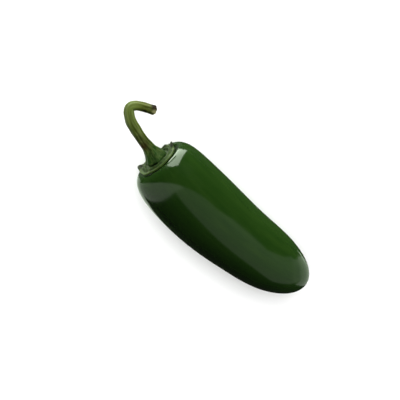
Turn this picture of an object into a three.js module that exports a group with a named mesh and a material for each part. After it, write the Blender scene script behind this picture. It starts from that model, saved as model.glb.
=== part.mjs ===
// A jalapeño chilli pepper as picked, lying on its side.
// Millimetres, +Z up. The pod lies along X, with the stem towards -X and the blossom end towards +X.
// Each solid is turned on a lathe about a straight axis and then bent along its own centre line.
import * as THREE from "three";
import { mergeVertices } from "three/addons/utils/BufferGeometryUtils.js";

// Pod. Distances run along it from the stem end, and angles from straight up towards +Y.
const podLength = 82.6;
const shoulderRadius = 15.45;
const waistRadius = 13.63; // where the blossom end starts to close
const taperFrom = 26;
const taperLength = 36.3;
const shoulderDepth = 42; // length over which the stem end rounds off
const shoulderPower = 5.6; // over 2 is squarer than an ellipse
const tipDepth = 28.3;
const tipPower = 2;
// Bow of the centre line, as four evenly spaced control values: to the side, and above the floor
const sidewaysBow = [1, -2.45, -1.75, 3.8];
const heightBow = [16.2, 15.2, 13.9, 14.6];
// Shallow lobes round the pod, one above each seed chamber
const lobeCount = 3;
const lobeAtShoulder = 0.034;
const lobeAtTip = 0.006;
const lobeFrom = 8; // the lobes start to fade here
const lobeTurn = 0.55;
const ovalness = 0.012;
// The hollow in the stem end that the calyx sits in
const hollowDepth = 1.2;
const hollowFloor = 7.2; // radius
const hollowBrim = 10;
// The small scar at the blossom end
const scarDepth = 0.7;
const scarWidth = 1.6;
const endRadius = 13.2; // the stem end has its own rings out to here
const endRings = 22;
const podRings = 40;
const podSides = 44;

// Calyx, the green cap in the hollow, with a raised collar round the seat of the stem
const calyxRadius = 7.8;
const calyxShift = -0.45; // it sits a little off the middle, away from +Y
const calyxGap = 0.3;
const seatRadius = 5.3;
const seatThickness = 0.6;
const collarThickness = 1.5;
const collarWall = 0.6; // distance over which the collar rises
const rimThickness = 0.75;
const ringAt = 6.75; // radius of the groove between the collar and the rolled edge
const ringDepth = 0.5;
const ringWidth = 0.4;
const edgeFrom = 0.7; // share of the radius where the edge starts to lift
const rimLift = 0.1; // the edge stands clear of the skin
const wave = 0.16; // unevenness of the edge
const waveTurn = 1.1;
// The teeth of the edge: where each one points, how far it reaches and how far it curls up
const teeth = [
  { at: -2.15, length: 0.5, curl: 1.2 },
  { at: -0.92, length: 1.5, curl: 0.1 },
  { at: 0.35, length: 0.3, curl: 0.1 },
  { at: 1.62, length: 0.8, curl: 1.6 },
  { at: 2.3, length: 0.3, curl: 0.8 },
  { at: 3.35, length: 0.4, curl: 0.5 },
];
const toothWidth = 0.25;
const calyxSides = 72;

// Stem
const stemRadius = 2;
const hookRadius = 1.72; // past the bend
const bendFrom = 0.5; // shares of the stem's length
const bendTo = 0.85;
const baseRadius = 4.6;
const flareLength = 3.8; // distance over which the base thins down
const flarePower = 1.5;
const stemEdge = 0.3; // the edge at each end is rounded off
const cutFlare = 0.16; // it widens again at the cut
const cutLength = 3;
const ribCount = 6;
const ribHeight = 0.085; // share of the radius
const ribTwist = 0.55; // from the base to the cut
const stemRings = 46;
const stemSides = 36;
// Centre line of the stem: out from the pod's end, towards +Y, and up
const stemPath = [
  [0.2, calyxShift, 0],
  [3.7, -0.1, 0.1],
  [8.5, 0.1, 0.2],
  [11.8, 0.3, 0.3],
  [14.8, 0.7, 0.4],
  [17.6, 1.1, 0.5],
  [20.1, 2, 0.6],
  [22, 3.3, 0.6],
  [22.7, 4.8, 0.5],
  [21.8, 6.7, 0.4],
  [19.9, 8.2, 0.2],
  [17.8, 9.5, 0],
  [15.1, 11.1, -0.3],
];

const smooth = (t) => {
  const c = Math.min(Math.max(t, 0), 1);
  return c * c * (3 - 2 * c);
};

const cubic = ([a, b, c, d], t) =>
  a * (1 - t) ** 3 + 3 * b * t * (1 - t) ** 2 + 3 * c * t * t * (1 - t) + d * t ** 3;

// Centre of the pod's section at a distance along it; it runs straight on outside the pod
function podCentre(distance) {
  const t = Math.min(Math.max(distance / podLength, 0), 1);
  const centre = new THREE.Vector3(t * podLength, cubic(sidewaysBow, t), cubic(heightBow, t));
  return centre.addScaledVector(podTangent(distance), distance - t * podLength);
}

function podTangent(distance) {
  const step = 1e-3;
  const t = Math.min(Math.max(distance / podLength, step), 1 - step);
  const slope = (bow) => (cubic(bow, t + step) - cubic(bow, t - step)) / (2 * step);
  return new THREE.Vector3(podLength, slope(sidewaysBow), slope(heightBow)).normalize();
}

// Unit vectors along and across the pod
function podAxes(distance) {
  const along = podTangent(distance);
  const side = new THREE.Vector3(0, 0, 1).cross(along).normalize();
  return { along, side, up: along.clone().cross(side) };
}

// A point in the bent pod
function inPod(distance, radius, angle) {
  const { side, up } = podAxes(distance);
  return podCentre(distance)
    .addScaledVector(up, radius * Math.cos(angle))
    .addScaledVector(side, radius * Math.sin(angle));
}

const roundedEnd = (share, power) => (1 - (1 - Math.min(share, 1)) ** power) ** (1 / power);

// Radius of the pod before its lobes
function podRadius(distance) {
  const taper = smooth((distance - taperFrom) / taperLength);
  const body = shoulderRadius + (waistRadius - shoulderRadius) * taper;
  return (
    body *
    roundedEnd(distance / shoulderDepth, shoulderPower) *
    roundedEnd((podLength - distance) / tipDepth, tipPower)
  );
}

// Distance at which the stem end, without its hollow, reaches a radius
const endDistance = (radius) =>
  shoulderDepth * (1 - (1 - (radius / shoulderRadius) ** shoulderPower) ** (1 / shoulderPower));

const hollow = (radius) =>
  hollowDepth * (1 - smooth((radius - hollowFloor) / (hollowBrim - hollowFloor)));

function lobes(distance, angle) {
  const fade = smooth((distance - lobeFrom) / (podLength - lobeFrom));
  const height = lobeAtShoulder + (lobeAtTip - lobeAtShoulder) * fade;
  return 1 + height * Math.cos(lobeCount * (angle - lobeTurn)) + ovalness * Math.cos(2 * angle);
}

// Distance of the skin of the stem end at a radius
const skinDistance = (radius, angle) => endDistance(radius / lobes(0, angle)) + hollow(radius);

// Moves each point of a lathe solid. The move gets the point's height, radius and angle.
function reshape(lathe, move) {
  lathe.deleteAttribute("normal");
  lathe.deleteAttribute("uv");
  const place = lathe.getAttribute("position");
  for (let i = 0; i < place.count; i++) {
    const x = place.getX(i);
    const z = place.getZ(i);
    const to = move(place.getY(i), Math.hypot(x, z), Math.atan2(x, z));
    place.setXYZ(i, to.x, to.y, to.z);
  }
  const merged = mergeVertices(lathe, 1e-4);
  merged.computeVertexNormals();
  return merged;
}

function podSolid() {
  const profile = [];
  for (let i = 0; i < endRings; i++) {
    const radius = (endRadius * i) / endRings;
    profile.push(new THREE.Vector2(radius, endDistance(radius)));
  }
  const from = endDistance(endRadius);
  for (let i = 0; i <= podRings; i++) {
    // Rings close up towards the blossom end
    const distance = from + (podLength - from) * Math.sin((Math.PI * i) / (2 * podRings));
    profile.push(new THREE.Vector2(podRadius(distance), distance));
  }
  return reshape(new THREE.LatheGeometry(profile.reverse(), podSides), (distance, radius, angle) => {
    const wide = radius * lobes(distance, angle);
    const scar = scarDepth * Math.exp(-((radius / scarWidth) ** 2));
    const sink = distance < podLength / 2 ? hollow(wide) : -scar;
    const at = inPod(distance + sink, wide, angle);
    at.z = Math.max(at.z, 0); // a flat spot where it lies
    return at;
  });
}

// How far the teeth reach and curl at an angle
function teethAt(angle) {
  const sum = { reach: 0, curl: 0 };
  for (const { at, length, curl } of teeth) {
    const off = THREE.MathUtils.euclideanModulo(angle - at + Math.PI, 2 * Math.PI) - Math.PI;
    const share = Math.exp(-((off / toothWidth) ** 2));
    sum.reach += length * share;
    sum.curl += curl * share;
  }
  return sum;
}

// Thickness of the calyx at a distance from its middle
function calyxThickness(radius) {
  const rise = smooth((radius - seatRadius) / collarWall);
  const fall = smooth((radius - seatRadius - collarWall) / (calyxRadius - seatRadius - collarWall));
  const ring = ringDepth * Math.exp(-(((radius - ringAt) / ringWidth) ** 2));
  return seatThickness + (collarThickness - seatThickness) * rise +
    (rimThickness - collarThickness) * fall - ring;
}

function calyxSolid() {
  const radii = [2.7, 4.4, 5.2, 5.4, 5.6, 5.8, 6.1, 6.5, 6.9, 7.2, 7.5, calyxRadius];
  const under = radii.filter((radius, i) => i % 2 === 1);
  // The lathe's height is 1 on the top of the cap and 0 below it
  const profile = [
    new THREE.Vector2(0, 0),
    ...under.map((radius) => new THREE.Vector2(radius, 0)),
    ...radii.toReversed().map((radius) => new THREE.Vector2(radius, 1)),
    new THREE.Vector2(0, 1),
  ];
  return reshape(new THREE.LatheGeometry(profile, calyxSides), (top, radius, angle) => {
    const edge = smooth((radius / calyxRadius - edgeFrom) / (1 - edgeFrom));
    const tooth = teethAt(angle);
    const uneven = wave * (Math.cos(angle + waveTurn) + Math.cos(3 * angle));
    const gap = calyxGap + edge * (rimLift + tooth.curl * edge) + top * calyxThickness(radius);
    const reach = radius + edge * (uneven + tooth.reach);
    const above = reach * Math.cos(angle);
    const across = reach * Math.sin(angle) + calyxShift;
    const fromMiddle = Math.hypot(above, across);
    const around = Math.atan2(across, above);
    return inPod(skinDistance(fromMiddle, around) - gap, fromMiddle, around);
  });
}

function stemSolid() {
  const { along, side, up } = podAxes(0);
  const points = stemPath.map(([out, across, above]) =>
    podCentre(-out).addScaledVector(side, across).addScaledVector(up, above));
  const path = new THREE.CatmullRomCurve3(points, false, "catmullrom", 0.5);
  const length = path.getLength();
  const radiusAt = (distance) => {
    const flare = (baseRadius - stemRadius) * Math.exp(-((distance / flareLength) ** flarePower));
    const hook = smooth((distance / length - bendFrom) / (bendTo - bendFrom));
    const cut = smooth((distance - length + cutLength) / cutLength);
    return stemRadius + flare + (hookRadius - stemRadius) * hook + cutFlare * cut;
  };
  const profile = [new THREE.Vector2(0, 0), new THREE.Vector2(baseRadius - stemEdge, 0)];
  for (let i = 0; i <= stemRings; i++) {
    const distance = stemEdge + ((length - 2 * stemEdge) * i) / stemRings;
    profile.push(new THREE.Vector2(radiusAt(distance), distance));
  }
  profile.push(new THREE.Vector2(radiusAt(length) - stemEdge, length));
  profile.push(new THREE.Vector2(0, length - stemEdge));
  return reshape(new THREE.LatheGeometry(profile.reverse(), stemSides), (distance, radius, angle) => {
    const share = Math.min(distance / length, 1);
    const forward = path.getTangentAt(share);
    const high = up.clone().addScaledVector(forward, -up.dot(forward)).normalize();
    const across = high.clone().cross(forward);
    const ribs = 1 + ribHeight * Math.cos(ribCount * (angle + ribTwist * share));
    return path.getPointAt(share)
      .addScaledVector(high, radius * ribs * Math.cos(angle))
      .addScaledVector(across, radius * ribs * Math.sin(angle));
  });
}

function piece(name, geometry, color, roughness) {
  const mesh = new THREE.Mesh(
    geometry,
    new THREE.MeshStandardMaterial({ color, roughness, metalness: 0 }),
  );
  mesh.name = name;
  return mesh;
}

const pepper = new THREE.Group();
pepper.add(
  piece("pod", podSolid(), 0x2b5118, 0.22),
  piece("calyx", calyxSolid(), 0x4f6f30, 0.55),
  piece("stem", stemSolid(), 0x66752c, 0.6),
);

// The origin is on the floor, under the middle of the bounding box
const middle = new THREE.Box3().setFromObject(pepper).getCenter(new THREE.Vector3());
pepper.position.set(-middle.x, -middle.y, 0);

export default pepper;
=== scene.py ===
# A jalapeño chilli pepper as picked, lying on a pale table under soft studio light
import functools
import math

import bmesh
import bpy
from mathutils import Matrix, Vector, noise


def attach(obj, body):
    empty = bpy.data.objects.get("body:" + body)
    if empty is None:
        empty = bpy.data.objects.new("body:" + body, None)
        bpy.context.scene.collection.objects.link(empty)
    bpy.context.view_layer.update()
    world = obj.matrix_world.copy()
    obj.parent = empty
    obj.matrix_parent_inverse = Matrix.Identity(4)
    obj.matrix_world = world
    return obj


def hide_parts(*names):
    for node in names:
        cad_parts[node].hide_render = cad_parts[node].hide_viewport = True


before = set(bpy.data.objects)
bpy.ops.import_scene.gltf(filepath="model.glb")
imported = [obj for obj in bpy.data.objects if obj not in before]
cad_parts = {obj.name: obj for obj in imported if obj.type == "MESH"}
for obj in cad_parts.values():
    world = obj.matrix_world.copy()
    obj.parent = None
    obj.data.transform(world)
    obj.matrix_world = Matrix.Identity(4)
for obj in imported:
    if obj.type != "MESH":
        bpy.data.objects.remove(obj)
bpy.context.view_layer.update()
mm = 0.001

print("frame loaded")


def smooth(t):
    c = min(max(t, 0.0), 1.0)
    return c * c * (3 - 2 * c)


def linear(hexColour):
    # sRGB hex to the linear colour that shaders work in
    parts = [int(hexColour[i:i + 2], 16) / 255 for i in (1, 3, 5)]
    return [c / 12.92 if c <= 0.04045 else ((c + 0.055) / 1.055) ** 2.4 for c in parts] + [1.0]


# Shape of the pod in millimetres, as its solid has it.
# Distances run along it from the stem end, and angles from straight up towards +Y.
pod = {
    "length": 82.6,
    "shoulderRadius": 15.45,
    "waistRadius": 13.63,
    "taperFrom": 26,
    "taperLength": 36.3,
    "shoulderDepth": 42,
    "shoulderPower": 5.6,
    "tipDepth": 28.3,
    "tipPower": 2,
    "sidewaysBow": (1, -2.45, -1.75, 3.8),  # pulls of the middle line's curve, evenly along the pod
    "heightBow": (16.2, 15.2, 13.9, 14.6),
    "lobeCount": 3,
    "lobeAtShoulder": 0.034,
    "lobeAtTip": 0.006,
    "lobeFrom": 8,
    "lobeTurn": 0.55,
    "ovalness": 0.012,
    "hollowDepth": 1.2,
    "hollowFloor": 7.2,
    "hollowBrim": 10,
    "scarDepth": 0.7,
    "scarWidth": 1.6,
    "origin": (29.325, -0.552),  # the part's origin, measured from the pod's stem end
    "rings": 200,
    "sides": 168,
    "endRadius": 13.2,
    "endShare": 0.3,  # of the rings, spent on the stem end out to that radius
    # Short shallow creases that run down from the shoulder: angle, distance, half width, half length
    "creases": ((0.01, 3.6, 0.35, 1.5), (2.15, 3.9, 0.5, 2.2), (-1.75, 3.4, 0.4, 1.8)),
    "creaseDepth": 0.2,
    "swell": 0.1,  # gentle unevenness of the skin, which makes the reflections wander
    "swellSize": 17,
}


def cubic(bow, t):
    # Bezier curve through the first and last of four pulls
    a, b, c, d = bow
    return a * (1 - t) ** 3 + 3 * b * t * (1 - t) ** 2 + 3 * c * t * t * (1 - t) + d * t ** 3


def podTangent(distance):
    step = 1e-3
    t = min(max(distance / pod["length"], step), 1 - step)
    slopes = [(cubic(pod[bow], t + step) - cubic(pod[bow], t - step)) / (2 * step)
              for bow in ("sidewaysBow", "heightBow")]
    return Vector((pod["length"], *slopes)).normalized()


@functools.lru_cache(4096)
def podAxes(distance):
    # Centre of the section there, which runs straight on outside the pod, and the ways along and across it
    t = min(max(distance / pod["length"], 0.0), 1.0)
    along = podTangent(distance)
    centre = Vector((t * pod["length"], cubic(pod["sidewaysBow"], t), cubic(pod["heightBow"], t)))
    side = Vector((0, 0, 1)).cross(along).normalized()
    return centre + along * (distance - t * pod["length"]), side, along.cross(side)


def inPod(distance, radius, angle):
    centre, side, up = podAxes(distance)
    return centre + up * (radius * math.cos(angle)) + side * (radius * math.sin(angle))


def roundedEnd(share, power):
    return max(1 - (1 - min(share, 1)) ** power, 0) ** (1 / power)


def podRadius(distance):
    taper = smooth((distance - pod["taperFrom"]) / pod["taperLength"])
    body = pod["shoulderRadius"] + (pod["waistRadius"] - pod["shoulderRadius"]) * taper
    return (body * roundedEnd(distance / pod["shoulderDepth"], pod["shoulderPower"])
            * roundedEnd((pod["length"] - distance) / pod["tipDepth"], pod["tipPower"]))


def endDistance(radius):
    # Where the stem end, without its hollow, reaches a radius
    power = pod["shoulderPower"]
    return pod["shoulderDepth"] * (1 - (1 - (radius / pod["shoulderRadius"]) ** power) ** (1 / power))


def hollow(radius):
    rise = smooth((radius - pod["hollowFloor"]) / (pod["hollowBrim"] - pod["hollowFloor"]))
    return pod["hollowDepth"] * (1 - rise)


def lobes(distance, angle):
    fade = smooth((distance - pod["lobeFrom"]) / (pod["length"] - pod["lobeFrom"]))
    height = pod["lobeAtShoulder"] + (pod["lobeAtTip"] - pod["lobeAtShoulder"]) * fade
    return (1 + height * math.cos(pod["lobeCount"] * (angle - pod["lobeTurn"]))
            + pod["ovalness"] * math.cos(2 * angle))


def skinDistance(radius, angle):
    return endDistance(radius / lobes(0, angle)) + hollow(radius)


def spunPiece(name, rings, sides, move):
    # A line spun into a tube. move takes a place along it from 0 to 1 and an angle, and gives
    # the point there and its place on the straight lathe, which the material's pattern follows.
    bm = bmesh.new()
    line = bm.edges.new((bm.verts.new((0, 1, 0)), bm.verts.new((0, 1, 1))))
    bmesh.ops.subdivide_edges(bm, edges=[line], cuts=rings - 1)
    bmesh.ops.spin(bm, geom=bm.verts[:] + bm.edges[:], cent=(0, 0, 0), axis=(0, 0, 1),
                   angle=math.tau, steps=sides, use_merge=True)
    lathe = bm.verts.layers.float_vector.new("lathe")
    originX, originY = pod["origin"]
    for vert in bm.verts:
        at, straight = move(vert.co.z, math.atan2(vert.co.x, vert.co.y))
        vert.co = (at - Vector((originX, originY, 0))) * mm
        vert[lathe] = Vector(straight) * mm
    bmesh.ops.remove_doubles(bm, verts=bm.verts[:], dist=0.002 * mm)  # the ends close to a point
    bmesh.ops.recalc_face_normals(bm, faces=bm.faces[:])
    for face in bm.faces:
        face.smooth = True
    mesh = bpy.data.meshes.new(name)
    bm.to_mesh(mesh)
    bm.free()
    piece = bpy.data.objects.new(name, mesh)
    bpy.context.scene.collection.objects.link(piece)
    return piece


def podSurface(place, angle):
    endShare = pod["endShare"]
    if place < endShare:
        radius = pod["endRadius"] * place / endShare
        distance = endDistance(radius)
    else:
        start = endDistance(pod["endRadius"])
        turn = math.pi / 2 * (place - endShare) / (1 - endShare)
        distance = start + (pod["length"] - start) * math.sin(turn)  # rings close up at the tip
        radius = podRadius(distance)
    wide = radius * lobes(distance, angle)
    straight = (wide * math.sin(angle), wide * math.cos(angle), distance)
    swell = pod["swell"] * noise.noise(Vector(straight) / pod["swellSize"])
    wide += swell * smooth(radius / pod["hollowBrim"])
    for at, middle, halfWidth, halfLength in pod["creases"]:
        off = (angle - at + math.pi) % math.tau - math.pi
        wide -= pod["creaseDepth"] * math.exp(
            -(off * radius / halfWidth) ** 2 - ((distance - middle) / halfLength) ** 2)
    dip = pod["scarDepth"] * math.exp(-(radius / pod["scarWidth"]) ** 2)
    sink = hollow(wide) if distance < pod["length"] / 2 else -dip
    at = inPod(distance + sink, wide, angle)
    at.z = max(at.z, 0)  # the flat spot where it lies
    return at, straight


podSkin = spunPiece("podSkin", pod["rings"], pod["sides"], podSurface)
print("pod", len(podSkin.data.polygons))

# The calyx, the green cap in the hollow. A thick collar stands round the seat of the stem.
calyx = {
    "radius": 7.8,
    "shift": -0.45,
    "gap": 0.3,
    "seatRadius": 5.3,
    "seatThickness": 0.6,
    "collarThickness": 1.5,
    "collarWall": 0.6,
    "rimThickness": 0.75,
    "ringAt": 6.75,  # the middle of the groove between the collar and the rolled edge
    "ringDepth": 0.5,
    "ringWidth": 0.4,
    "edgeFrom": 0.7,  # share of the radius from which the edge waves and lifts
    "rimLift": 0.1,
    "wave": 0.16,
    "waveTurn": 1.1,
    # Where each tooth points, how far it reaches past the edge, and how far its tip curls up
    "teeth": ((-2.15, 0.5, 1.2), (-0.92, 1.5, 0.1), (0.35, 0.3, 0.1), (1.62, 0.8, 1.6), (2.3, 0.3, 0.8),
              (3.35, 0.4, 0.5)),
    "toothWidth": 0.25,
    "rings": 110,
    "sides": 260,
    "rimRound": 0.12,  # share of the rings that turn round the rim
    "rimBulge": 0.3,
    "crumple": 0.16,  # the uneven dry surface
    "crumpleSize": 1.3,
    "crumpleFrom": 5,
    "crumpleRise": 1.2,
}


def teeth(angle):
    # Reach and curl of the edge at an angle
    reach, curl = 0, 0
    for at, length, lift in calyx["teeth"]:
        off = (angle - at + math.pi) % math.tau - math.pi
        share = math.exp(-(off / calyx["toothWidth"]) ** 2)
        reach += length * share
        curl += lift * share
    return reach, curl


def calyxThickness(radius):
    rise = smooth((radius - calyx["seatRadius"]) / calyx["collarWall"])
    wallTop = calyx["seatRadius"] + calyx["collarWall"]
    fall = smooth((radius - wallTop) / (calyx["radius"] - wallTop))
    ring = calyx["ringDepth"] * math.exp(-((radius - calyx["ringAt"]) / calyx["ringWidth"]) ** 2)
    return (calyx["seatThickness"] + (calyx["collarThickness"] - calyx["seatThickness"]) * rise
            + (calyx["rimThickness"] - calyx["collarThickness"]) * fall - ring)


def calyxSurface(place, angle):
    # Out along the underside, round the rim and back in over the top
    half = (1 - calyx["rimRound"]) / 2
    turn = min(max((place - half) / calyx["rimRound"], 0), 1)
    top = (1 - math.cos(math.pi * turn)) / 2
    radius = calyx["radius"] * min(place, 1 - place, half) / half
    edge = smooth((radius / calyx["radius"] - calyx["edgeFrom"]) / (1 - calyx["edgeFrom"]))
    toothReach, toothCurl = teeth(angle)
    wave = calyx["wave"] * (math.cos(angle + calyx["waveTurn"]) + math.cos(3 * angle))
    lift = edge * (calyx["rimLift"] + toothCurl * edge)
    reach = radius + (wave + toothReach) * edge
    reach += calyx["rimBulge"] * math.sin(math.pi * turn)
    spot = Vector((reach * math.sin(angle), reach * math.cos(angle), top)) / calyx["crumpleSize"]
    outside = smooth((radius - calyx["crumpleFrom"]) / calyx["crumpleRise"])
    crumple = calyx["crumple"] * noise.fractal(spot, 0.6, 2.1, 4) * outside * top
    gap = calyx["gap"] + lift + top * calyxThickness(radius) + crumple
    above = reach * math.cos(angle)
    across = reach * math.sin(angle) + calyx["shift"]
    fromMiddle = math.hypot(above, across)
    around = math.atan2(across, above)
    return inPod(skinDistance(fromMiddle, around) - gap, fromMiddle, around), (
        reach * math.sin(angle), reach * math.cos(angle), toothCurl * edge * edge)


calyxCap = spunPiece("calyxCap", calyx["rings"], calyx["sides"], calyxSurface)
print("calyx", len(calyxCap.data.polygons))

# The stem, ribbed and hooked, and cut off at its end
stem = {
    "radius": 2,
    "hookRadius": 1.72,
    "bendFrom": 0.5,
    "bendTo": 0.85,
    "baseRadius": 4.6,
    "flareLength": 3.8,
    "flarePower": 1.5,
    "edge": 0.3,  # rounding at both ends
    "cutFlare": 0.16,
    "cutLength": 3,
    "ribCount": 6,
    "ribHeight": 0.085,
    "ribTwist": 0.55,
    # Centre line: out from the pod's end, towards +Y, and up
    "path": ((0.2, -0.45, 0), (3.7, -0.1, 0.1), (8.5, 0.1, 0.2), (11.8, 0.3, 0.3), (14.8, 0.7, 0.4),
             (17.6, 1.1, 0.5), (20.1, 2, 0.6), (22, 3.3, 0.6), (22.7, 4.8, 0.5), (21.8, 6.7, 0.4),
             (19.9, 8.2, 0.2), (17.8, 9.5, 0), (15.1, 11.1, -0.3)),
    "steps": 400,
    "rings": 240,
    "sides": 108,
    "baseShare": 0.05,  # of the rings, under the base
    "cutShare": 0.06,  # and over the cut
    "fibre": 0.045,  # fine lengthwise ridges
    "fibreSize": 0.55,
    "fibreStretch": 9,
    "knots": 0.14,  # slow bumps
    "knotSize": 3,
}

seat, side, up = podAxes(0)
stemPoints = [podAxes(-out)[0] + side * across + up * above for out, across, above in stem["path"]]


def stemCurve(t):
    # A smooth curve through the points
    last = len(stemPoints) - 1
    i = min(int(t * last), last - 1)
    w = t * last - i
    p1, p2 = stemPoints[i], stemPoints[i + 1]
    p0 = stemPoints[i - 1] if i > 0 else 2 * p1 - p2
    p3 = stemPoints[i + 2] if i + 2 <= last else 2 * p2 - p1
    v1, v2 = (p2 - p0) / 2, (p3 - p1) / 2
    return (p1 + v1 * w + (3 * (p2 - p1) - 2 * v1 - v2) * w ** 2
            + (2 * (p1 - p2) + v1 + v2) * w ** 3)


stemSteps = [stemCurve(i / stem["steps"]) for i in range(stem["steps"] + 1)]
stemReach = [0.0]
for here, there in zip(stemSteps, stemSteps[1:]):
    stemReach.append(stemReach[-1] + (there - here).length)
stemLength = stemReach[-1]


def stemAt(distance):
    # Point on the centre line at a distance along it
    distance = min(max(distance, 0), stemLength)
    i = 1
    while stemReach[i] < distance and i < len(stemReach) - 1:
        i += 1
    share = (distance - stemReach[i - 1]) / (stemReach[i] - stemReach[i - 1])
    return stemSteps[i - 1].lerp(stemSteps[i], share)


def stemFrame(distance):
    step = 0.1
    forward = (stemAt(distance + step) - stemAt(distance - step)).normalized()
    high = (up - forward * up.dot(forward)).normalized()
    return stemAt(distance), high, high.cross(forward)


def stemRadiusAt(distance):
    flare = (stem["baseRadius"] - stem["radius"]) * math.exp(
        -(distance / stem["flareLength"]) ** stem["flarePower"])
    hook = smooth((distance / stemLength - stem["bendFrom"]) / (stem["bendTo"] - stem["bendFrom"]))
    cut = smooth((distance - stemLength + stem["cutLength"]) / stem["cutLength"])
    return (stem["radius"] + flare + (stem["hookRadius"] - stem["radius"]) * hook
            + stem["cutFlare"] * cut)


stemRings = {}


def stemRing(place):
    # Distance, radius and frame of a ring, worked out once for all its points
    if place not in stemRings:
        edge = stem["edge"]
        side = (place - stem["baseShare"]) / (1 - stem["baseShare"] - stem["cutShare"])
        distance = edge + (stemLength - 2 * edge) * min(max(side, 0), 1)
        radius = stemRadiusAt(distance)
        if side < 0:
            distance, radius = 0, (stem["baseRadius"] - edge) * place / stem["baseShare"]
        elif side > 1:
            inward = (1 - place) / stem["cutShare"]
            distance = stemLength - edge * (1 - inward)
            radius = (stemRadiusAt(stemLength) - edge) * inward
        stemRings[place] = (distance, radius, *stemFrame(distance))
    return stemRings[place]


def stemSurface(place, angle):
    distance, radius, centre, high, across = stemRing(place)
    share = distance / stemLength
    ribs = 1 + stem["ribHeight"] * math.cos(stem["ribCount"] * (angle + stem["ribTwist"] * share))
    straight = Vector((radius * math.sin(angle), radius * math.cos(angle), distance))
    spot = Vector((straight.x, straight.y, distance / stem["fibreStretch"])) / stem["fibreSize"]
    rough = stem["fibre"] * noise.noise(spot) + stem["knots"] * noise.noise(straight / stem["knotSize"])
    wide = radius * ribs + rough * smooth(radius)
    at = centre + high * (wide * math.cos(angle)) + across * (wide * math.sin(angle))
    return at, straight


stemStalk = spunPiece("stemStalk", stem["rings"], stem["sides"], stemSurface)
print("stem", len(stemStalk.data.polygons))


def addNode(tree, kind, inputs, **settings):
    # inputs maps a socket's name or number to a value or to the socket that feeds it
    node = tree.nodes.new("ShaderNode" + kind)
    for name, value in settings.items():
        setattr(node, name, value)
    for socket, source in inputs.items():
        if isinstance(source, bpy.types.NodeSocket):
            tree.links.new(source, node.inputs[socket])
        else:
            node.inputs[socket].default_value = source
    return node


def newMaterial(name):
    material = bpy.data.materials.new(name)
    material.use_nodes = True
    tree = material.node_tree
    shader = tree.nodes["Principled BSDF"]
    return material, tree, shader


def mixColours(tree, share, first, second):
    return addNode(tree, "Mix", {0: share, 6: first, 7: second}, data_type="RGBA").outputs[2]


def spots(tree, place, size, detail, roughness=0.5):
    # Noise whose spots are this many millimetres apart
    return addNode(tree, "TexNoise", {"Vector": place, "Scale": 1 / (size * mm), "Detail": detail,
                                      "Roughness": roughness}).outputs[0]


def ranged(tree, value, low, high, first, last):
    # Runs from first to last as the value goes from low to high
    return addNode(tree, "MapRange", {0: value, 1: low, 2: high, 3: first, 4: last}).outputs[0]


def fromAxis(tree, place):
    flat = addNode(tree, "VectorMath", {0: place, 1: (1, 1, 0)}, operation="MULTIPLY").outputs[0]
    return addNode(tree, "VectorMath", {0: flat}, operation="LENGTH").outputs["Value"]


skinLook = {
    "patches": ("#1b3b0d", "#264713"),
    "patchSize": 14,
    "streak": "#34531a",
    "streakSize": 2.2,
    "streakSquash": 0.12,  # along the pod, so that the streaks run lengthwise
    "streakStrength": 0.4,
    "cellSize": 0.5,
    "cellDepth": 0.05,
    "roughness": 0.13,
    "ior": 1.47,
}


def waxySkin():
    # Thin natural wax over deep green flesh: dark and even, with sharp clear reflections
    material, tree, shader = newMaterial("waxySkin")
    place = addNode(tree, "Attribute", {}, attribute_name="lathe").outputs["Vector"]
    long = addNode(tree, "Mapping", {"Vector": place, "Scale": (1, 1, skinLook["streakSquash"])}).outputs[0]
    patches = spots(tree, place, skinLook["patchSize"], 3)
    streaks = spots(tree, long, skinLook["streakSize"], 4)
    darkPatch, lightPatch = skinLook["patches"]
    patched = mixColours(tree, patches, linear(darkPatch), linear(lightPatch))
    streaky = ranged(tree, streaks, 0.35, 0.75, 0, skinLook["streakStrength"])
    base = mixColours(tree, streaky, patched, linear(skinLook["streak"]))
    cells = spots(tree, place, skinLook["cellSize"], 2)
    bump = addNode(tree, "Bump", {"Height": cells, "Strength": 0.04,
                                  "Distance": skinLook["cellDepth"] * mm})
    tree.links.new(base, shader.inputs["Base Color"])
    tree.links.new(bump.outputs[0], shader.inputs["Normal"])
    shader.inputs["Roughness"].default_value = skinLook["roughness"]
    shader.inputs["IOR"].default_value = skinLook["ior"]
    return material


calyxLook = {
    "mottle": ("#15280a", "#405c1f"),
    "mottleSize": 1.2,
    "rim": "#6f8747",
    "rimFrom": 6.9,
    "rimTo": 7.7,
    "rimStrength": 0.3,
    "speck": "#3a2c14",
    "speckSize": 0.7,
    "speckStrength": 0.8,
    "tip": "#1c2110",
    "tipFrom": 0.35,  # height of the curl where the dried tips of the teeth begin
    "tipTo": 0.65,
    "tipStrength": 0.9,
    "roughness": 0.5,
    "shine": 0.12,
}


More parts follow.
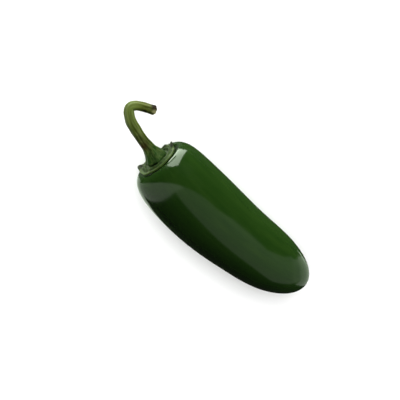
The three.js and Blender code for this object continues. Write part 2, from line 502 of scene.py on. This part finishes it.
def calyxGreen():
    # Leafy tissue half dried: dull dark green, mottled, paler towards its edge, with brown specks
    material, tree, shader = newMaterial("calyxGreen")
    place = addNode(tree, "Attribute", {}, attribute_name="lathe").outputs["Vector"]
    radius = fromAxis(tree, place)
    mottle = spots(tree, place, calyxLook["mottleSize"], 5, 0.65)
    mottled = ranged(tree, mottle, 0.35, 0.65, 0, 1)
    darkGreen, lightGreen = calyxLook["mottle"]
    base = mixColours(tree, mottled, linear(darkGreen), linear(lightGreen))
    rim = ranged(tree, radius, calyxLook["rimFrom"] * mm, calyxLook["rimTo"] * mm, 0,
                 calyxLook["rimStrength"])
    edged = mixColours(tree, rim, base, linear(calyxLook["rim"]))
    specks = spots(tree, place, calyxLook["speckSize"], 2)
    specked = ranged(tree, specks, 0.62, 0.68, 0, calyxLook["speckStrength"])
    brown = mixColours(tree, specked, edged, linear(calyxLook["speck"]))
    curl = addNode(tree, "SeparateXYZ", {0: place}).outputs["Z"]
    tips = ranged(tree, curl, calyxLook["tipFrom"] * mm, calyxLook["tipTo"] * mm, 0,
                  calyxLook["tipStrength"])
    tree.links.new(mixColours(tree, tips, brown, linear(calyxLook["tip"])), shader.inputs["Base Color"])
    shader.inputs["Roughness"].default_value = calyxLook["roughness"]
    shader.inputs["Specular IOR Level"].default_value = calyxLook["shine"]
    return material


stemLook = {
    # Share of the way along the stem, and the colour there
    "zones": ((0, "#1b400e"), (0.14, "#23430f"), (0.25, "#323f10"), (0.36, "#3f4b15"),
              (0.5, "#505f1f"), (0.7, "#697c33"), (0.85, "#5f6c27"), (1, "#464b1d")),
    "fibre": "#93a45c",
    "fibreSize": 0.6,
    "fibreSquash": 0.1,
    "fibreStrength": 0.45,
    "fibreAtBase": 0.35,  # of that strength
    "blotSize": 1.6,
    # Each mark, real or painted shade: its colour, where it is strongest along the stem, how far it
    # reaches, towards which side in millimetres across, and how strong it is
    "marksAndShade": (("#3c280f", 0.235, 0.1, 1.4, 1), ("#2c2f0c", 0.33, 0.07, 1.6, 1.1),
              # The dark olive one at 0.87 is painted shade on the underside of the hook, over its real dark
              # mottling
              ("#2b2f0a", 0.87, 0.09, -1.3, 1.3), ("#241a0c", 0.975, 0.06, 0.9, 1.7),
              ("#a5a373", 0.985, 0.045, -0.9, 1.7)),
    "pith": "#b4b585",
    "pithRadius": 1.2,
    "pithFade": 0.25,
    "roughness": 0.5,
    "shine": 0.12,
}


def stemMarkAndShade(tree, share, across, blots, markAndShade):
    # How much of a mark or of the painted shade under the hook shows: most at its middle and on its own
    # side, in uneven blots
    middle, reach, towards, strength = markAndShade
    off = addNode(tree, "Math", {0: share, 1: middle}, operation="SUBTRACT").outputs[0]
    away = addNode(tree, "Math", {0: off}, operation="ABSOLUTE").outputs[0]
    near = ranged(tree, away, reach, 0, 0, strength)
    side = ranged(tree, across, -towards * mm, towards * mm, 0, 1)
    sided = addNode(tree, "Math", {0: near, 1: side}, operation="MULTIPLY").outputs[0]
    uneven = ranged(tree, blots, 0.35, 0.6, 0.3, 1.2)
    return addNode(tree, "Math", {0: sided, 1: uneven}, operation="MULTIPLY", use_clamp=True).outputs[0]


def greenStem():
    # Green wood, fibrous lengthwise: olive, browned above the base, dark and pale at the cut, with painted
    # shade under the hook
    material, tree, shader = newMaterial("greenStem")
    place = addNode(tree, "Attribute", {}, attribute_name="lathe").outputs["Vector"]
    straight = addNode(tree, "SeparateXYZ", {0: place})
    share = ranged(tree, straight.outputs["Z"], 0, stemLength * mm, 0, 1)
    ramp = addNode(tree, "ValToRGB", {0: share})
    for i, (at, colour) in enumerate(stemLook["zones"]):
        stop = ramp.color_ramp.elements[i] if i < 2 else ramp.color_ramp.elements.new(at)
        stop.position = at
        stop.color = linear(colour)
    long = addNode(tree, "Mapping", {"Vector": place, "Scale": (1, 1, stemLook["fibreSquash"])}).outputs[0]
    fibres = spots(tree, long, stemLook["fibreSize"], 5)
    fibred = ranged(tree, fibres, 0.4, 0.65, 0, stemLook["fibreStrength"])
    grown = ranged(tree, share, 0.06, 0.32, stemLook["fibreAtBase"], 1)
    fibrous = addNode(tree, "Math", {0: fibred, 1: grown}, operation="MULTIPLY").outputs[0]
    base = mixColours(tree, fibrous, ramp.outputs[0], linear(stemLook["fibre"]))
    blots = spots(tree, place, stemLook["blotSize"], 4)
    # Real marks, and the painted shade under the hook
    for colour, *markAndShade in stemLook["marksAndShade"]:
        shown = stemMarkAndShade(tree, share, straight.outputs["X"], blots, markAndShade)
        base = mixColours(tree, shown, base, linear(colour))
    pithEdge = stemLook["pithRadius"] + stemLook["pithFade"]
    pith = ranged(tree, fromAxis(tree, place), pithEdge * mm, stemLook["pithRadius"] * mm, 0, 1)
    past = addNode(tree, "Math", {0: share, 1: 0.9}, operation="GREATER_THAN").outputs[0]
    cut = addNode(tree, "Math", {0: pith, 1: past}, operation="MULTIPLY").outputs[0]
    tree.links.new(mixColours(tree, cut, base, linear(stemLook["pith"])), shader.inputs["Base Color"])
    shader.inputs["Roughness"].default_value = stemLook["roughness"]
    shader.inputs["Specular IOR Level"].default_value = stemLook["shine"]
    return material


for piece, node, material, slot in (
    (podSkin, "pod", waxySkin(), "waxy_skin"),
    (calyxCap, "calyx", calyxGreen(), "calyx_green"),
    (stemStalk, "stem", greenStem(), "green_stem"),
):
    piece.data.materials.append(material)
    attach(piece, "root")
    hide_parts(node)
print("materials")

# Camera: it looks down on the pepper, turned so that the stem end is at the upper left
view = {
    "aim": Vector((-2.53, 0.52, 8.05)) * mm,
    "distance": 444.4 * mm,
    "tilt": math.radians(19),
    "roll": math.radians(42),
    "lens": 100,
}

outward = Vector((math.cos(view["tilt"]), 0, math.sin(view["tilt"])))
upward = Vector((0, 1, 0))
towards = outward.cross(upward)
right = math.cos(view["roll"]) * outward + math.sin(view["roll"]) * upward
above = towards.cross(right)
cameraData = bpy.data.cameras.new("camera")
cameraData.lens = view["lens"]
cameraData.clip_start = 0.01
camera = bpy.data.objects.new("camera", cameraData)
bpy.context.scene.collection.objects.link(camera)
camera.matrix_world = Matrix.Translation(view["aim"] + towards * view["distance"]) @ Matrix(
    (right, above, towards)).transposed().to_4x4()
bpy.context.scene.camera = camera

# Light. Brightness 1 is about that of white paper. A place is the way to it from the pepper.
lamps = {
    "topLamp": {"middle": (-0.22, 0.6, 0.77), "size": 1.4, "brightness": 3.4, "lights": "pepper",
                "tint": (1, 1, 1)},
    "leftLamp": {"middle": (-0.72, -0.26, -0.64), "size": 1.4, "brightness": 4.4, "lights": "pepper",
                 "tint": (1, 1, 1)},
    "rightLamp": {"middle": (-0.13, 0.75, -0.64), "size": 1.4, "brightness": 6.1, "lights": "pepper",
                  "tint": (1.15, 0.98, 1.2)},
    "tipLamp": {"middle": (0.94, 0, -0.34), "size": 1.4, "brightness": 1, "lights": "pepper",
                "tint": (1, 1, 1)},
    "floorLamp": {"middle": (-0.53, 0.12, 0.84), "size": 2.6, "brightness": 3.3, "lights": "floor",
                  "tint": (1, 1, 1)},
}
lampAway = 1.6
lampWatts = 4  # per square metre, at brightness 1

# Boards that the skin mirrors and nothing else shows: brightness, then the way to each corner
boards = {
    "keyBoard": (6.4, (-0.94, 0.12, -0.3), (-0.99, 0.1, 0.18), (-0.87, 0.2, 0.48), (-0.62, 0.45, 0.65),
                 (-0.66, 0.68, 0.36), (-0.56, 0.83, -0.01), (-0.25, 0.85, -0.47), (-0.47, 0.69, -0.55),
                 (-0.52, 0.43, -0.74), (-0.4, 0.15, -0.9), (-0.45, 0.06, -0.89), (-0.72, 0.08, -0.69)),
    "frontBoard": (0.4, (0.05, -0.62, 0.79), (0.12, -0.21, 0.97), (0.62, 0.77, 0.13), (0.72, 0.61, 0.34),
                   (0.79, 0.4, 0.46), (0.87, 0.16, 0.47), (0.96, -0.2, 0.18), (0.75, -0.62, 0.25)),
    "sideBoard": (0.8, (0.05, -0.62, 0.79), (0.12, -0.21, 0.97), (-0.71, -0.69, -0.13),
                  (0.05, -0.92, -0.4)),
    "lowSideBoard": (0.8, (-0.71, -0.69, -0.13), (0.05, -0.92, -0.4), (0, -0.75, -0.66),
                     (-0.45, -0.5, -0.74)),
    "leftRimBoard": (1, (-0.5, -0.38, -0.78), (-0.3, -0.62, -0.73), (0, -0.74, -0.67), (0.16, -0.66, -0.73),
                     (0.27, -0.4, -0.87), (0.33, -0.05, -0.95), (-0.3, -0.15, -0.94)),
    "shoulderBoard": (0.14, (-0.36, -0.1, -0.93), (-0.3, -0.25, -0.92), (-0.1, -0.1, -0.99),
                      (-0.05, 0.35, -0.93), (-0.33, 0.55, -0.77), (-0.38, 0.33, -0.86)),
    "tipBoard": (0.5, (0.67, 0.7, 0.24), (0.72, 0.61, 0.34), (0.79, 0.4, 0.46), (0.87, 0.16, 0.47),
                 (0.96, -0.18, 0.2), (0.99, 0.13, 0.1), (0.91, 0.38, 0.18), (0.81, 0.58, 0.09),
                 (0.68, 0.73, 0)),
    "tipEndBoard": (0.75, (0.68, 0.73, 0), (0.81, 0.58, 0.09), (0.91, 0.38, 0.18), (0.99, 0.13, 0.1),
                    (0.98, -0.16, 0.1), (0.96, -0.05, -0.27), (0.7, 0.05, -0.7), (0.57, 0.3, -0.76),
                    (0.6, 0.66, -0.45), (0.64, 0.74, -0.22)),
    "tipStreakBoard": (3, (0.55, 0.62, -0.56), (0.6, 0.57, -0.56), (0.65, 0.5, -0.57), (0.62, 0.49, -0.61),
                       (0.54, 0.59, -0.6)),
}
boardAway = 2
boardTint = (0.94, 1.08, 0.88, 1)
floorReach = 3


def addLamp(name, lamp):
    data = bpy.data.lights.new(name, "AREA")
    data.shape = "SQUARE"
    data.size = lamp["size"]
    data.energy = lamp["brightness"] * lamp["size"] ** 2 * lampWatts
    data.color = lamp["tint"]
    light = bpy.data.objects.new(name, data)
    bpy.context.scene.collection.objects.link(light)
    back = Vector(lamp["middle"]).normalized()
    light.matrix_world = Matrix.Translation(view["aim"] + back * lampAway) @ back.to_track_quat(
        "Z", "Y").to_matrix().to_4x4()
    light.visible_glossy = False
    light.light_linking.receiver_collection = lit[lamp["lights"]]


def flatObject(name, corners, material):
    bm = bmesh.new()
    bm.faces.new([bm.verts.new(corner) for corner in corners])
    mesh = bpy.data.meshes.new(name)
    bm.to_mesh(mesh)
    bm.free()
    flat = bpy.data.objects.new(name, mesh)
    flat.data.materials.append(material)
    bpy.context.scene.collection.objects.link(flat)
    return flat


for name, (brightness, *ways) in boards.items():
    glow, glowTree, glowShader = newMaterial(name)
    glowShader.inputs["Base Color"].default_value = (0, 0, 0, 1)
    glowShader.inputs["Emission Color"].default_value = boardTint
    glowShader.inputs["Emission Strength"].default_value = brightness
    ways = [Vector(way).normalized() for way in ways]
    facing = sum(ways, Vector()).normalized()
    board = flatObject(name, [way * boardAway / way.dot(facing) for way in ways], glow)
    board.visible_camera = False
    board.visible_diffuse = False
    board.visible_shadow = False

world = bpy.data.worlds.new("studio")
world.use_nodes = True
world.node_tree.nodes["Background"].inputs["Color"].default_value = (0.02, 0.02, 0.02, 1)
bpy.context.scene.world = world

# Floor
paper, paperTree, paperShader = newMaterial("whitePaper")
paperShader.inputs["Base Color"].default_value = (0.9, 0.9, 0.9, 1)
paperShader.inputs["Roughness"].default_value = 0.9
floorCorners = [(x * floorReach, y * floorReach, 0) for x, y in ((-1, -1), (1, -1), (1, 1), (-1, 1))]
floor = flatObject("floor", floorCorners, paper)
floor.visible_glossy = False
floor.visible_diffuse = False
floor.visible_shadow = False

lit = {"pepper": bpy.data.collections.new("litPepper"), "floor": bpy.data.collections.new("litFloor")}
lit["floor"].objects.link(floor)
for piece in (podSkin, calyxCap, stemStalk):
    lit["pepper"].objects.link(piece)
for name, lamp in lamps.items():
    addLamp(name, lamp)

bpy.context.scene.view_settings.view_transform = "Standard"
print("camera, light and floor")
